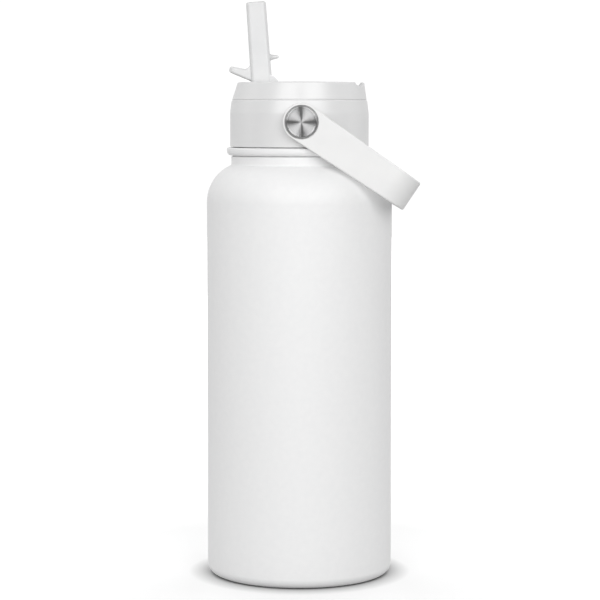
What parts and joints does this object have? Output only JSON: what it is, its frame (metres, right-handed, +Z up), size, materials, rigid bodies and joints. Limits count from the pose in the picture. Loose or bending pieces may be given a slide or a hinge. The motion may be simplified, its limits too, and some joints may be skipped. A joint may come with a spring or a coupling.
{
  "type": "insulated water bottle",
  "caption": "Insulated steel water bottle with a screw-on straw lid, a spout that folds flat into the lid and a carry handle that swings on two disc-headed pivots.",
  "frame": {"origin": "centre of the flat base, on the surface the bottle stands on", "axes": "+Z up along the bottle's axis; the handle's pivot and the spout's hinge lie along Y; the handle hangs towards +X and the folded spout points towards +X"},
  "size_m": [0.1028, 0.091, 0.2813],
  "materials": {
    "powder_coat": "satin white powder coat with a fine grain",
    "bare_steel": "drawn and brushed stainless steel",
    "brushed_disc": "circularly brushed stainless steel",
    "white_plastic": "fine satin moulded polypropylene",
    "handle_plastic": "soft matt moulded plastic",
    "soft_plastic": "slightly translucent semi-gloss plastic",
    "silicone": "translucent matt silicone",
    "straw_plastic": "translucent extruded straw",
    "foam": "moulded insulation foam",
    "brass": "turned brass",
    "glass_solder": "dark glassy sealing bead"
  },
  "bodies": {
    "bottle": {"outer_shell": "powder_coat", "inner_liner": "bare_steel", "outer_base": "bare_steel", "vacuum_seal": "glass_solder", "base_disc": "bare_steel", "getter_pellet": "bare_steel"},
    "seal_ring": {"lid_gasket": "silicone"},
    "lid": {"lid_housing": "white_plastic", "lid_inner_cap": "white_plastic", "lid_insulation": "foam", "lid_top_cover": "white_plastic", "spout_seal": "silicone", "straw_socket": "silicone", "straw": "straw_plastic", "vent_grommet": "silicone", "vent_valve": "silicone", "pivot_bolt_front": "brushed_disc", "pivot_bolt_back": "brushed_disc", "pivot_washer_front": "soft_plastic", "pivot_washer_back": "soft_plastic", "pivot_insert_front": "brass", "pivot_insert_back": "brass"},
    "spout": {"spout": "soft_plastic"},
    "handle": {"handle": "handle_plastic", "pivot_bush_front": "soft_plastic", "pivot_bush_back": "soft_plastic"}
  },
  "joints": [
    {"name": "lid_rise", "type": "slide", "parent": "bottle", "child": "seal_ring", "axis": [0, 0, 1], "range_m": [0, 0.005]},
    {"name": "lid_turn", "type": "hinge", "parent": "seal_ring", "child": "lid", "pos_m": [0, 0, 0.218], "axis": [0, 0, 1], "range_deg": [0, 450]},
    {"name": "spout_flip", "type": "hinge", "parent": "lid", "child": "spout", "pos_m": [-0.016, 0, 0.2396], "axis": [0, 1, 0], "range_deg": [0, 94]},
    {"name": "handle_swing", "type": "hinge", "parent": "lid", "child": "handle", "pos_m": [0, 0, 0.2227], "axis": [0, -1, 0], "range_deg": [0, 130]}
  ],
  "couplings": [
    {"joint": "lid_rise", "follows": "lid_turn", "m_per_rad": 0.00063662}
  ]
}
